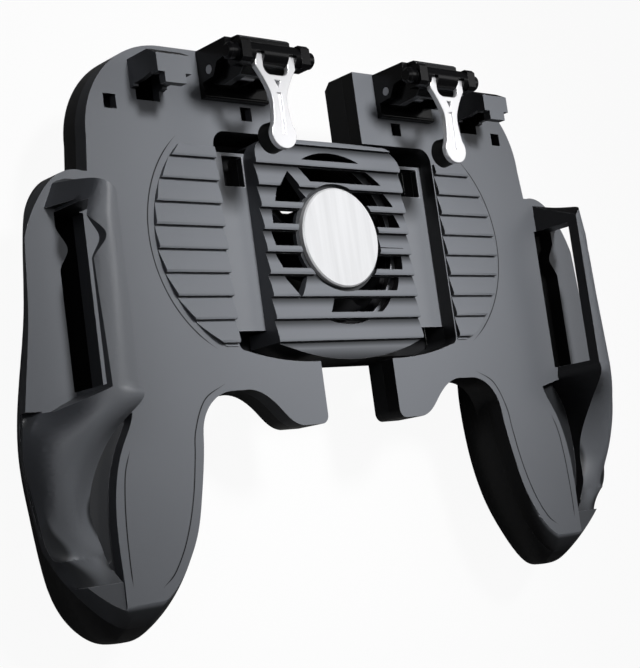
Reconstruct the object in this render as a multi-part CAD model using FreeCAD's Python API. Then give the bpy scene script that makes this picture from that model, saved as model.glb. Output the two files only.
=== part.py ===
import FreeCAD, Part
import math
import os

# Phone gamepad with a fan cooler, lying on its back. Lengths are in millimetres.
# The model is laid out from the fan's axis (X = 0, Y = 0) and the front of the face plates (Z = 0).
# Before it is written, everything is raised by BODY_DEPTH, so the origin is on the fan's axis in the
# plane the controller lies on, with +Z out of the face and +Y towards the triggers.
# Each wing is described as the right one, and the left one is its mirror image.

Vec = FreeCAD.Vector
X_AXIS = Vec(1, 0, 0)
Y_AXIS = Vec(0, 1, 0)
Z_AXIS = Vec(0, 0, 1)
CUT = 0.5                # how far a cutting body runs past the face it cuts
FUZZ = 0.001             # tolerance of the unions with curved sides
SHORTEST_EDGE = 0.2      # shorter edges of an inset outline are left out
FAR = 130.0              # reach of the half spaces that trim the wings

# Walls, seams and clearances
BODY_DEPTH = 27.0        # front of the face plates above the table
BACK_DEPTH = 25.4        # deepest point of the grips' backs
WALL = 2.0               # side walls
SKIN = 2.2               # thickness of the front faces
FLOOR = 1.8              # thickness of the arms' back walls
PARTING = 4.0            # depth of the seam between the front and back shells
ARM_DEPTH = 10.3         # depth of the arms
ARM_CHAMFER = 1.8        # on the outer edges of the arms' backs
SLIDE_GAP = 0.3          # clearance between pieces that slide on each other
SEAT_GAP = 0.05          # radial clearance of a pin in its hole

# Outline of a wing's arms
ARM_END_X = 11.5         # inner end of both arms when the wings are pulled open
WINDOW_X = 34.7          # side of the window that takes the cooler
WINDOW_TOP = 23.5
WINDOW_CORNER_R = 3.5
WING_TOP = 41.5
WING_SIDE_X = 68.0
WING_CORNER_R = 21.7
TAB_BOTTOM = -43.2       # bottom of the lower arm
ARCH_TOP = -34.6         # top of the finger arch between the lower arm and the grip
ARCH_END_X = 38.0
SHOULDER_Y = 12.3        # where the side tower starts

# Side tower beside the phone's end
TOWER_X = 72.0           # wall that meets the phone's end
TOWER_HEIGHT = 13.8
BAR_OUTER_X = 77.6
BAR_BOTTOM = 10.8
SLOT_INNER_X = 71.0
SLOT_OUTER_X = 78.0
SLOT_TOP_Y = 4.0
SLOT_BOTTOM_Y = -34.0
SLOT_BUMP = 2.3          # bulge of the slot's sides
SLOT_BUMP_Y = -4.2
NOTCH_DROP = 2.9         # how much lower the notch ends at the ledge's outer edge than at the bar
LEDGE_X = 84.4           # outer edge of the ledge at the notch's lower end
SCOOP_DEPTH = 2.8        # recess between the face and the curved ridge
SCOOP_TOP_Y = -36.6
SCOOP_END_Y = -71.3
RIM_STEP = 0.5           # step from the face to the grip's side below the scoop

# Ribbed fields
RIB_PITCH = 5.15
RIB_HEIGHT = 1.1
RIB_FIRST_Y = 22.0       # first rib step above the fan's axis
FIELD_INNER_X = 35.0
FIELD_R = 27.1
FIELD_CENTRE_X = 26.5
FIELD_CENTRE_Y = -0.5
FIELD_TOP = 19.5
FIELD_BOTTOM = -25.0
FIELD_PROUD = 1.2

# Hook over the phone's upper edge
HOOK_X = 50.9
HOOK_WIDTH = 8.8
HOOK_WALL = 1.3
HOOK_TONGUE = 5.4
HOOK_HEIGHT = 10.3
HOOK_BACK_Y = 37.5
HOOK_REACH_Y = 29.6
HOOK_LIP = 2.2           # how far the tongue reaches past the front of the hood
HOOK_FRONT_Y = HOOK_REACH_Y + HOOK_LIP
HOOK_ROOF = 1.9
SNAP_HOLE = 3.2
SNAP_HOLE_Y = 27.9
SNAP_HOLE_XS = (24.0, 61.0)

# Cooler module
GRILLE_X = 23.0
GRILLE_TOP = WINDOW_TOP - SLIDE_GAP
GRILLE_LIP = -28.7
GRILLE_SIDE_BOTTOM = -24.4
FAN_OPENING_R = 20.5
HUB_R = 12.9
SPOKES = ((125.8, 3.6), (237.0, 9.0), (-1.0, 3.6))   # direction and width of the hub's arms
BADGE_R = 11.9
BADGE_THICK = 1.1
BAR_WIDTH = 1.7
SHORT_BARS = (1, 6)      # bars that reach no further left than the arms of the badge's hub
SHORT_BAR_X = -9.0
BRIDGE_THICK = 2.0
BRIDGE_X = 52.0
BRIDGE_TOP_Y = 20.0
BRIDGE_BOTTOM_Y = -21.0
BRIDGE_TOP = -(PARTING + SLIDE_GAP)
BRIDGE_CUTS = ((-GRILLE_X - 6.2, -GRILLE_X - 0.4), (GRILLE_X + 4.0, GRILLE_X + 10.5))
BRIDGE_CUT_Y = 12.2      # lower end of the two cut-outs beside the grille
FAN_SIZE = 40.0
FAN_DEPTH = 10.0
FAN_BORE_R = 19.3
FAN_HUB_R = 9.5
FAN_BLADES = 7
BLADE_GAP = 0.6
BLADE_PITCH = 38.0
BLADE_THICK = 0.9
BLADE_TURN = -12.0       # direction of the first blade
SHAFT_R = 1.0
HOUSING_X = 35.4
HOUSING_TOP_Y = 25.5
HOUSING_BOTTOM_Y = -27.0
HOUSING_R = 3.0
COLLAR_TOP_Y = BRIDGE_TOP_Y + 1.0
HOUSING_FRONT = -(ARM_DEPTH + 0.6)
COVER_THICK = 2.2
VENT_WIDTH = 2.2
VENT_PITCH = 4.4
COVER_SCREW = 8.0

# Trigger
TRIGGER_X = 27.3
KEY_HALF = 7.1
KEY_TOP = 13.3
KEY_FRONT_Y = 31.6
KEY_BACK_Y = 41.3
PIN_Y = 36.0
PIN_Z = 3.9
PIN_R = 1.0
CHEEK_THICK = 1.7
SEAT_FRONT_Y = 30.3
SEAT_BASE = 1.4
CHEEK_TOP = 10.6
CHEEK_FRONT_Y = 36.9
CROSS_BAR_Y = 36.7
CROSS_BAR_R = 2.6
CROSS_BAR_HALF = 12.2
COLLAR_HALF = 2.6
COLLAR_WIDTH = 2.6
KNOB_R = 1.9
LEVER_THICK = 1.4
LEVER_Z = 14.2           # underside of the lever
LEVER_TIP_Y = 15.5
FOOT_R = 3.5
FOOT_BOTTOM = 10.2

LEVER_ARM_X = 4.6        # of the lever's arms, from its middle
LEVER_ARM_WIDTH = 2.2

# Screws of a wing
WING_SCREWS = ((16.0, 32.5), (58.0, 32.5), (16.0, -36.5), (41.0, -29.7))
BOSS_R = 2.2
SCREW_R = 0.9
HEAD_R = 1.8
HEAD_THICK = 0.9
HEAD_SINK = 0.2           # of the screw heads below the face around them

# Small parts at the cooler's lower wall
INLET_X = 9.0
BUTTON_X = -9.0
WALL_PART_Z = -19.0
BUTTON_R = 2.6
BUTTON_PROUD = 0.9


def box(x0, x1, y0, y1, z0, z1):
    return Part.makeBox(x1 - x0, y1 - y0, z1 - z0, Vec(x0, y0, z0))


def rod(centre, axis, radius, length):
    return Part.makeCylinder(radius, length, centre, axis)


def path(start, *steps):
    """Closed wire in the plane Z = 0: a step is a point (line), a pair of points (arc) or a list (spline)."""
    edges = []
    here = Vec(start[0], start[1], 0)
    for step in list(steps) + [start]:
        if isinstance(step, list):
            points = [here] + [Vec(p[0], p[1], 0) for p in step]
            curve = Part.BSplineCurve()
            curve.interpolate(points)
            edges.append(curve.toShape())
            here = points[-1]
        elif isinstance(step[0], tuple):
            middle = Vec(step[0][0], step[0][1], 0)
            end = Vec(step[1][0], step[1][1], 0)
            edges.append(Part.Arc(here, middle, end).toShape())
            here = end
        else:
            end = Vec(step[0], step[1], 0)
            if end.distanceToPoint(here) > 1e-6:
                edges.append(Part.LineSegment(here, end).toShape())
            here = end
    return Part.Wire(edges)


def prism(wire, z0, z1):
    """Straight body over a flat outline, from height z0 to z1."""
    face = wire if isinstance(wire, Part.Face) else Part.Face(wire)
    body = face.extrude(Vec(0, 0, z1 - z0))
    body.translate(Vec(0, 0, z0))
    return body


def side_prism(points, x0, x1):
    """Straight body along X over a (Y, Z) outline."""
    corners = [Vec(x0, y, z) for y, z in points]
    wire = Part.makePolygon(corners + [corners[0]])
    return Part.Face(wire).extrude(Vec(x1 - x0, 0, 0))


def mirrored(shape):
    return shape.mirror(Vec(0, 0, 0), X_AXIS)


def corner_point(cx, cy, radius, degrees):
    angle = math.radians(degrees)
    return (cx + radius * math.cos(angle), cy + radius * math.sin(angle))


def wing_outline():
    """Outline of the arms, the plate between them and the part that runs under the side tower."""
    corner = WINDOW_CORNER_R
    cx = WING_SIDE_X - WING_CORNER_R
    cy = WING_TOP - WING_CORNER_R
    window_bottom = GRILLE_SIDE_BOTTOM - 1.7
    lip = GRILLE_LIP - SLIDE_GAP
    return path(
        (ARM_END_X, WINDOW_TOP),
        (WINDOW_X - corner, WINDOW_TOP),
        (corner_point(WINDOW_X - corner, WINDOW_TOP - corner, corner, 45), (WINDOW_X, WINDOW_TOP - corner)),
        (WINDOW_X, window_bottom + 2.0),
        ((WINDOW_X - 0.6, window_bottom + 0.6), (WINDOW_X - 2.0, window_bottom)),
        [(24.0, window_bottom - 2.0), (18.0, lip + 0.2), (ARM_END_X, lip)],
        (ARM_END_X, TAB_BOTTOM + 2.0),
        ((ARM_END_X + 0.6, TAB_BOTTOM + 0.6), (ARM_END_X + 2.0, TAB_BOTTOM)),
        (19.0, TAB_BOTTOM),
        [(23.0, TAB_BOTTOM + 1.9), (26.0, -38.3), (29.5, ARCH_TOP - 1.1), (35.0, ARCH_TOP)],
        (ARCH_END_X, ARCH_TOP),
        ((ARCH_END_X + 6.67, ARCH_TOP - 2.76), (ARCH_END_X + 9.4, ARCH_TOP - 8.6)),
        (54.0, -44.0),
        (TOWER_X - 1.5, SLOT_BOTTOM_Y),
        (TOWER_X - 1.5, SHOULDER_Y),
        (WING_SIDE_X + 0.8, SHOULDER_Y),
        (WING_SIDE_X, cy),
        (corner_point(cx, cy, WING_CORNER_R, 45), (cx, WING_TOP)),
        (ARM_END_X, WING_TOP),
    )


def inset(face, distance):
    """Outline of a face moved inwards, drawn anew as lines, arcs and splines without tiny edges."""
    edges = face.makeOffset2D(-distance).OuterWire.OrderedEdges
    edges = [edge for edge in edges if edge.Length > SHORTEST_EDGE]
    here = edges[-1].Vertexes[0].Point
    if min(v.Point.distanceToPoint(here) for v in edges[0].Vertexes) > SHORTEST_EDGE:
        here = edges[-1].Vertexes[-1].Point
    start = (here.x, here.y)
    steps = []
    for edge in edges:
        points = edge.discretize(5)
        if points[-1].distanceToPoint(here) < points[0].distanceToPoint(here):
            points.reverse()
        here = points[-1]
        flat = [(point.x, point.y) for point in points]
        if isinstance(edge.Curve, Part.Line):
            steps.append(flat[-1])
        elif isinstance(edge.Curve, Part.Circle):
            steps.append((flat[2], flat[4]))
        else:
            steps.append(flat[1:])
    if isinstance(steps[-1], list):
        steps[-1][-1] = start
    elif isinstance(steps[-1][0], tuple):
        steps[-1] = (steps[-1][0], start)
    return path(start, *steps)


# Cross sections of the grip, from its upper end to its tip:
# Y, inner X, outer X, height of the crown, depth of the back, lean of the outer side.
GRIP_SECTIONS = (
    (SHOULDER_Y + 0.2, 65.0, 77.4, 8.0, -9.5, 0.45),
    (8.0, 61.5, 81.8, 9.0, -13.0, 0.55),
    (0.0, 57.8, 83.3, 9.0, -16.5, 0.6),
    (-16.0, 51.0, 83.8, 9.0, -21.0, 0.62),
    (-32.0, 47.6, 86.0, 9.0, -24.6, 0.62),
    (-45.0, 47.7, 87.3, 9.0, -BACK_DEPTH, 0.62),
    (-56.0, 49.7, 86.1, 8.0, -BACK_DEPTH, 0.58),
    (-66.0, 52.6, 84.0, 6.0, -24.2, 0.42),
    (-75.0, 57.2, 78.9, 1.5, -21.4, 0.1),
    (-81.0, 61.8, 73.8, -4.0, -18.2, 0.0),
    (-83.5, 65.6, 69.0, -9.0, -14.2, 0.0),
)
INNER_LEAN = 0.28        # lean of the inner side, the same all along
SECTION_POWER = 2.2      # 2 is an ellipse, more is squarer
CROWN_SHARE = 0.93       # share of a section's upper half that is modelled; the rest lies above the face
SIDE_SHARES = (0.0, 0.45, 0.78, 1.0)
BACK_POINTS = 4          # steps along the back half of a section
HOLLOW_STATIONS = (8.0, -4.0, -18.0, -34.0, -50.0, -64.0, -74.0)
HOLLOW_FLAT = (0.6, 0.76)   # reach of the hollow's flat floor, across and down


def grip_row(y):
    """Section values at any Y, between the rows of the table."""
    for first, second in zip(GRIP_SECTIONS, GRIP_SECTIONS[1:]):
        if second[0] <= y <= first[0]:
            break
    share = (first[0] - y) / (first[0] - second[0])
    return [a + (b - a) * share for a, b in zip(first, second)]


def section_point(row, across, z, wall=0.0):
    """Point of a section: across runs from -1 at its inner side to 1 at its outer side."""
    y, inner, outer, crown, back, lean = row
    rise = z - (crown + back) / 2
    x = (inner + outer) / 2 + ((outer - inner) / 2 - wall) * across
    x += lean * rise * (1 + across) / 2 - INNER_LEAN * rise * (1 - across) / 2
    return Vec(x, y, z)


def section_side(row, side, z):
    """Point of a section's inner (-1) or outer (1) side at height z."""
    crown, back = row[3], row[4]
    up = abs(z - (crown + back) / 2) / ((crown - back) / 2)
    across = max(0.0, 1 - up ** SECTION_POWER) ** (1 / SECTION_POWER)
    return section_point(row, side * across, z)


def curve_edge(points, start, end):
    """Smooth edge through points that are evenly spaced along it; start and end are tangents or None."""
    count = len(points) - 1
    curve = Part.BSplineCurve()
    tangents = [start or Z_AXIS] + [Z_AXIS] * (count - 1) + [end or Z_AXIS]
    flags = [start is not None] + [False] * (count - 1) + [end is not None]
    shares = [step / count for step in range(count + 1)]
    curve.interpolate(Points=points, Parameters=shares, Tangents=tangents, TangentFlags=flags, Scale=True)
    return curve.toShape()


def grip_section(row):
    """Closed section: a leaning superellipse with a flat crown."""
    crown, back, lean = row[3], row[4], row[5]
    centre_z = (crown + back) / 2
    half_z = (crown - back) / 2
    top = min(CUT, centre_z + CROWN_SHARE * half_z)
    heights = [centre_z + share * (top - centre_z) for share in SIDE_SHARES]
    outer = [section_side(row, 1, z) for z in heights]
    inner = [section_side(row, -1, z) for z in reversed(heights)]
    lower = [inner[-1]]
    for step in range(1, BACK_POINTS):
        angle = math.pi * (1 + step / BACK_POINTS)
        power = 2 / SECTION_POWER
        across = math.copysign(abs(math.cos(angle)) ** power, math.cos(angle))
        lower.append(section_point(row, across, centre_z - half_z * abs(math.sin(angle)) ** power))
    lower.append(outer[0])
    upward = Vec(lean, 0, 1)
    downward = Vec(INNER_LEAN, 0, -1)
    return Part.Wire([
        curve_edge(outer, upward, None),
        Part.LineSegment(outer[-1], inner[0]).toShape(),
        curve_edge(inner, None, downward),
        curve_edge(lower, downward, upward),
    ])


def grip_body():
    return Part.makeLoft([grip_section(row) for row in GRIP_SECTIONS], True, False)


def grip_hollow():
    """Space inside the grip's back, open towards the front shell."""
    sections = []
    for y in HOLLOW_STATIONS:
        row = grip_row(y)
        crown, back = row[3], row[4]
        centre_z = (crown + back) / 2
        floor_z = centre_z - HOLLOW_FLAT[1] * ((crown - back) / 2 - WALL)
        middle_z = min(centre_z, -PARTING - CUT)
        corners = [(-1, CUT - PARTING), (-1, middle_z), (-HOLLOW_FLAT[0], floor_z),
                   (HOLLOW_FLAT[0], floor_z), (1, middle_z), (1, CUT - PARTING)]
        points = [section_point(row, across, z, WALL) for across, z in corners]
        sections.append(Part.makePolygon(points + [points[0]]))
    return Part.makeLoft(sections, True, True)


RIDGE_SPREAD = -2.0      # height at which the ridge's outer surface meets the grip's side
RIDGE_SHARES = (0.38, 0.6, 0.8)    # places across the outer surface whose heights are given
TOWER_LEVELS = (0.9, 0.58, 0.17)
TOWER_SLOPE = [RIDGE_SPREAD + level * (TOWER_HEIGHT - RIDGE_SPREAD) for level in TOWER_LEVELS]
# Tower, and the swelling ridge below it: Y, X and height of the crest, heights of the outer surface.
TOWER_SECTIONS = (
    (SHOULDER_Y + 0.1, TOWER_X, TOWER_HEIGHT, TOWER_SLOPE),
    (0.0, TOWER_X, TOWER_HEIGHT, TOWER_SLOPE),
    (-16.0, TOWER_X, TOWER_HEIGHT, TOWER_SLOPE),
    (SLOT_BOTTOM_Y, TOWER_X, TOWER_HEIGHT, TOWER_SLOPE),
)
RIDGE_SECTIONS = (
    (SLOT_BOTTOM_Y, TOWER_X, TOWER_HEIGHT, TOWER_SLOPE),
    (-38.0, 72.5, 12.9, (11.7, 7.3, 1.2)),
    (-42.0, 75.0, 8.0, (9.3, 7.3, 3.8)),
    (-45.5, 76.1, 4.7, (6.9, 6.2, 3.8)),
    (-51.0, 76.8, 0.8, (3.6, 4.4, 2.9)),
    (-58.0, 76.9, -1.0, (1.3, 1.8, 0.8)),
    (-65.7, 75.1, -0.6, (0.2, 0.2, -0.4)),
    (SCOOP_END_Y, 71.6, -RIM_STEP, (-0.5, -0.5, -0.9)),
)
SCOOP_EDGE = ((67.9, -44.3), (70.9, -53.1), (71.7, -61.0), (71.5, SCOOP_END_Y))


def ridge_section(y, crest_x, crest_z, slope):
    """Upright inner wall, then a curve from the crest to the grip's outer side."""
    crest = Vec(crest_x, y, crest_z)
    row = grip_row(y)
    outer = section_side(row, 1, RIDGE_SPREAD)
    points = [crest]
    for share, z in zip(RIDGE_SHARES, slope):
        points.append(Vec(crest_x + share * (outer.x - crest_x), y, z))
    points.append(outer)
    curve = Part.BSplineCurve()
    curve.interpolate(Points=points, Parameters=[0.0, 0.34, 0.6, 0.8, 1.0])
    low_outer = section_side(row, 1, -PARTING)
    low_inner = Vec(crest_x, y, -PARTING)
    return Part.Wire([
        curve.toShape(),
        Part.LineSegment(points[-1], low_outer).toShape(),
        Part.LineSegment(low_outer, low_inner).toShape(),
        Part.LineSegment(low_inner, crest).toShape(),
    ])


def shoulder_outline(tip, corner):
    """Everything below the tower's rounded upper end: tip is the end's level, corner its inner end's."""
    return path(
        (30.0, -FAR),
        (30.0, corner),
        (TOWER_X - 2.0, corner),
        [(TOWER_X + 0.8, (tip + corner) / 2 + 0.4), (TOWER_X + 4.0, tip - 0.4), (80.8, tip - 5.0),
         (84.4, tip - 11.3), (86.8, -8.5)],
        (FAR, -8.5),
        (FAR, -FAR),
    )


def tower_body():
    """Side tower and the ridge that runs from it down the grip, trimmed at its rounded upper end."""
    tower = Part.makeLoft([ridge_section(*row) for row in TOWER_SECTIONS], True, True)
    ridge = Part.makeLoft([ridge_section(*row) for row in RIDGE_SECTIONS], True, False)
    low = shoulder_outline(SHOULDER_Y - 0.6, SHOULDER_Y)
    high = shoulder_outline(7.6, 2.4)
    low.translate(Vec(0, 0, -PARTING - CUT))
    high.translate(Vec(0, 0, TOWER_HEIGHT + CUT))
    shoulder = Part.makeLoft([low, high], True, True)
    return tower.common(shoulder).fuse(ridge)


def slot_outline(side_x, reach, top, bottom, low_x, drop):
    """Plan of an opening from side_x to reach, whose one side bulges towards the phone by SLOT_BUMP.

    From low_x outwards its lower end lies deeper by drop.
    """
    return path(
        (low_x, bottom - drop),
        (reach, bottom - drop),
        (reach, top),
        (side_x, top),
        (side_x, SLOT_BUMP_Y + 4.4),
        [(side_x - SLOT_BUMP * 0.55, SLOT_BUMP_Y + 2.2), (side_x - SLOT_BUMP, SLOT_BUMP_Y),
         (side_x - SLOT_BUMP * 0.55, SLOT_BUMP_Y - 2.2), (side_x, SLOT_BUMP_Y - 4.4)],
        (side_x, bottom),
    )


def tower_openings():
    """Notch outside the bar, down to a ledge at the level of the face, and slot under the bar."""
    notch = prism(slot_outline(BAR_OUTER_X, FAR, SLOT_TOP_Y, SLOT_BOTTOM_Y, LEDGE_X, NOTCH_DROP), 0,
                  TOWER_HEIGHT + CUT)
    slot = prism(slot_outline(SLOT_OUTER_X, SLOT_INNER_X, SLOT_TOP_Y - 0.6, SLOT_BOTTOM_Y + 0.8, SLOT_OUTER_X, 0.0),
                 -PARTING - CUT, BAR_BOTTOM)
    return notch, slot


def scoop():
    """Crescent recess between the face and the ridge, and the small step below it."""
    pocket = prism(path(
        (FAR, SCOOP_TOP_Y),
        (TOWER_X - 1.0, SCOOP_TOP_Y),
        (64.8, SCOOP_TOP_Y - 1.4),
        [(65.4, SCOOP_TOP_Y - 3.2)] + list(SCOOP_EDGE),
        (FAR, SCOOP_END_Y),
    ), -SCOOP_DEPTH, CUT)
    step = box(SCOOP_EDGE[-1][0], FAR, -FAR, SCOOP_END_Y + CUT, -RIM_STEP, CUT)
    return [pocket, step]


def rib_profile(top_y, count, base, crest):
    """Saw teeth along Y: each rises slowly away from +Y and drops in a small step."""
    points = [(top_y, base)]
    for step in range(count):
        y = top_y - step * RIB_PITCH
        points.append((y, crest - RIB_HEIGHT))
        points.append((y - 0.55 * RIB_PITCH, crest - 0.3 * RIB_HEIGHT))
        points.append((y - 0.88 * RIB_PITCH, crest))
        points.append((y - 0.985 * RIB_PITCH, crest - 0.18 * RIB_HEIGHT))
    points.append((top_y - count * RIB_PITCH, base))
    return points


def ribbed_field():
    """Raised ribbed field between the window and an arc."""
    arc_x = FIELD_CENTRE_X + FIELD_R
    top_x = FIELD_CENTRE_X + math.sqrt(FIELD_R ** 2 - (FIELD_TOP - FIELD_CENTRE_Y) ** 2)
    bottom_x = FIELD_CENTRE_X + math.sqrt(FIELD_R ** 2 - (FIELD_BOTTOM - FIELD_CENTRE_Y) ** 2)
    outline = path(
        (FIELD_INNER_X, FIELD_BOTTOM),
        (bottom_x, FIELD_BOTTOM),
        ((arc_x, FIELD_CENTRE_Y), (top_x, FIELD_TOP)),
        (FIELD_INNER_X, FIELD_TOP),
    )
    first = RIB_FIRST_Y
    count = int((first - FIELD_BOTTOM) / RIB_PITCH) + 1
    ribs = side_prism(rib_profile(first, count, -0.5, FIELD_PROUD), FIELD_INNER_X - 1, arc_x + 1)
    return prism(outline, -0.4, FIELD_PROUD + 1).common(ribs)


def hook_body():
    """Hook over the phone's upper edge: a hood, open towards the phone, whose tongue reaches over the glass."""
    half = HOOK_WIDTH / 2
    side = [(HOOK_BACK_Y, -CUT), (HOOK_BACK_Y, HOOK_HEIGHT - 3.0), (HOOK_BACK_Y - 1.7, HOOK_HEIGHT),
            (HOOK_REACH_Y, HOOK_HEIGHT), (HOOK_REACH_Y, HOOK_HEIGHT - HOOK_ROOF),
            (HOOK_FRONT_Y + 0.6, HOOK_HEIGHT - HOOK_ROOF - 0.6), (HOOK_FRONT_Y - 0.8, -CUT)]
    hood = side_prism(side, HOOK_X - half, HOOK_X + half)
    inside = [(HOOK_BACK_Y - HOOK_WALL, -SKIN - CUT), (HOOK_BACK_Y - HOOK_WALL, HOOK_HEIGHT - HOOK_ROOF - 1.6),
              (HOOK_BACK_Y - HOOK_WALL - 1.4, HOOK_HEIGHT - HOOK_ROOF - 0.2),
              (HOOK_REACH_Y - CUT, HOOK_HEIGHT - HOOK_ROOF - 0.2), (HOOK_REACH_Y - CUT, -SKIN - CUT)]
    hood = hood.cut(side_prism(inside, HOOK_X - half + HOOK_WALL, HOOK_X + half - HOOK_WALL))
    for sign in (-1, 1):
        edge = HOOK_X + sign * HOOK_TONGUE / 2
        far = HOOK_X + sign * (half + CUT)
        hood = hood.cut(box(min(edge, far), max(edge, far), HOOK_REACH_Y - CUT, HOOK_FRONT_Y, HOOK_WALL, 20))
    return hood


def front_shell():
    outline = Part.Face(wing_outline())
    inner_outline = inset(outline, WALL)
    shoulder = prism(shoulder_outline(SHOULDER_Y - 0.6, SHOULDER_Y), -BODY_DEPTH - CUT, 1.0)
    grip_front = grip_body().common(box(30, FAR, -FAR, SHOULDER_Y + 1, -PARTING, 0)).common(shoulder)
    shell = prism(outline, -PARTING, 0).fuse(grip_front)
    shell = shell.cut(prism(inner_outline, -PARTING - CUT, -SKIN))
    shell = shell.cut(scoop()).fuse(tower_body())
    notch, slot = tower_openings()
    shell = shell.cut([notch, slot])
    hole = SNAP_HOLE / 2
    holes = [box(x - hole, x + hole, SNAP_HOLE_Y - hole, SNAP_HOLE_Y + hole, -SKIN - CUT, CUT)
             for x in SNAP_HOLE_XS]
    inside = HOOK_WIDTH / 2 - HOOK_WALL
    core = box(HOOK_X - inside, HOOK_X + inside, HOOK_REACH_Y - 0.8, HOOK_BACK_Y - HOOK_WALL, -SKIN - CUT, CUT)
    shell = shell.cut(holes + [core])
    shell = shell.fuse([ribbed_field(), hook_body()] + screw_bosses(-PARTING, -SKIN + 0.2))
    return shell.cut(screw_holes(-PARTING - CUT, -SKIN, SCREW_R)).removeSplitter()


def arms_back(outline):
    """Back half of the arms, with a chamfer along their outer edges but none at the window."""
    body = prism(outline, -ARM_DEPTH, -PARTING)
    rim = []
    for edge in body.Edges:
        bounds = edge.BoundBox
        at_window = bounds.XMax < WINDOW_X + CUT and bounds.YMin > GRILLE_LIP - 2 * SLIDE_GAP
        at_grip = bounds.XMax > WING_SIDE_X + 1.0 or bounds.XMin > ARCH_END_X - CUT and bounds.YMax < 0
        if bounds.ZMax < CUT - ARM_DEPTH and not at_window and not at_grip:
            rim.append(edge)
    return body.makeChamfer(ARM_CHAMFER, rim)


def back_shell():
    outline = Part.Face(wing_outline())
    inner_outline = inset(outline, WALL)
    shoulder = prism(shoulder_outline(SHOULDER_Y - 0.6, SHOULDER_Y), -2 * BODY_DEPTH, 1.0)
    lower_half = box(30, FAR, -FAR, SHOULDER_Y + 1, -2 * BODY_DEPTH, -PARTING)
    grip_back = grip_body().common(lower_half).common(shoulder)
    shell = grip_back.fuse([arms_back(outline)], FUZZ)
    shell = shell.cut([grip_hollow(), prism(inner_outline, -ARM_DEPTH + FLOOR, -PARTING + CUT)], FUZZ)
    slide_slot = box(ARM_END_X, BRIDGE_X, BRIDGE_BOTTOM_Y - SLIDE_GAP, BRIDGE_TOP_Y + SLIDE_GAP,
                     BRIDGE_TOP - BRIDGE_THICK - SLIDE_GAP, -PARTING + CUT)
    shell = shell.cut(slide_slot).fuse(screw_bosses(-ARM_DEPTH + FLOOR - 0.2, -PARTING))
    through = screw_holes(-ARM_DEPTH - CUT, -PARTING + CUT, SCREW_R)
    return shell.cut(through + screw_holes(-ARM_DEPTH - CUT, -ARM_DEPTH + 1.2, HEAD_R + SLIDE_GAP))


def grille_outline():
    """Outline of the cooler's front: bowed top and bottom edges, rounded upper corners."""
    side_top = GRILLE_TOP - 5.3
    return path(
        (GRILLE_X, GRILLE_SIDE_BOTTOM),
        (GRILLE_X, side_top),
        ((GRILLE_X - 1.6, GRILLE_TOP - 1.7), (GRILLE_X - 5.5, GRILLE_TOP - 0.3)),
        ((0.0, GRILLE_TOP), (5.5 - GRILLE_X, GRILLE_TOP - 0.3)),
        ((1.6 - GRILLE_X, GRILLE_TOP - 1.7), (-GRILLE_X, side_top)),
        (-GRILLE_X, GRILLE_SIDE_BOTTOM),
        ((0.0, GRILLE_LIP), (GRILLE_X, GRILLE_SIDE_BOTTOM)),
    )


def spoke(degrees, width):
    """Solid arm between the badge's hub and the rim of the fan opening."""
    arm = box(HUB_R - 1.5, FAN_OPENING_R + 1, -width / 2, width / 2, -SKIN, 2.0)
    arm.rotate(Vec(0, 0, 0), Z_AXIS, degrees)
    return arm


def rib_crest(step):
    """Height along Y of the crest of a rib, counted from the top."""
    return RIB_FIRST_Y - (step + 0.88) * RIB_PITCH


def front_grille():
    """Ribbed front cover with the barred fan opening, the badge's hub and the end walls."""
    outline = Part.Face(grille_outline())
    inner_outline = outline.makeOffset2D(-WALL)
    count = int((RIB_FIRST_Y - GRILLE_SIDE_BOTTOM) / RIB_PITCH)
    low = -ARM_DEPTH
    lip_y = RIB_FIRST_Y - count * RIB_PITCH
    profile = rib_profile(RIB_FIRST_Y, count, low, 0.25)[1:-1]
    top = [(GRILLE_TOP + 1, low), (GRILLE_TOP + 1, -0.55), (RIB_FIRST_Y, -0.05)]
    bottom = [(lip_y, 0.25 - RIB_HEIGHT), (lip_y - 1.6, -0.35), (GRILLE_LIP - 1, -0.9), (GRILLE_LIP - 1, low)]
    ribs = side_prism(top + profile + bottom, -GRILLE_X - 1, GRILLE_X + 1)
    cover = prism(outline, low, 1.0).common(ribs)
    cover = cover.cut(prism(inner_outline, low - CUT, -SKIN))
    passage = box(-GRILLE_X - 1, GRILLE_X + 1, BRIDGE_BOTTOM_Y - SLIDE_GAP, COLLAR_TOP_Y + SLIDE_GAP, low - CUT,
                  BRIDGE_TOP)
    cover = cover.cut(passage)
    opening = rod(Vec(0, 0, -ARM_DEPTH), Z_AXIS, FAN_OPENING_R, 2 * ARM_DEPTH)
    opening = opening.cut(rod(Vec(0, 0, -ARM_DEPTH), Z_AXIS, HUB_R, 2 * ARM_DEPTH))
    bars = []
    for step in range(count):
        left = SHORT_BAR_X if step in SHORT_BARS else -GRILLE_X
        crest = rib_crest(step)
        bars.append(box(left, GRILLE_X, crest - BAR_WIDTH / 2, crest + BAR_WIDTH / 2, -SKIN, 2.0))
    spokes = [spoke(*size) for size in SPOKES]
    cover = cover.cut(opening.cut(bars + spokes))
    seat = rod(Vec(0, 0, -1.0), Z_AXIS, HUB_R, 5)
    return cover.cut(seat)


def badge_disc():
    """Plain disc with a chamfered rim that sits on the grille's hub."""
    disc = rod(Vec(0, 0, -1.0), Z_AXIS, BADGE_R, BADGE_THICK + 0.4)
    rim = [edge for edge in disc.Edges if abs(edge.BoundBox.ZMin - disc.BoundBox.ZMax) < 1e-3]
    return disc.makeChamfer(0.35, rim)


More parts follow.
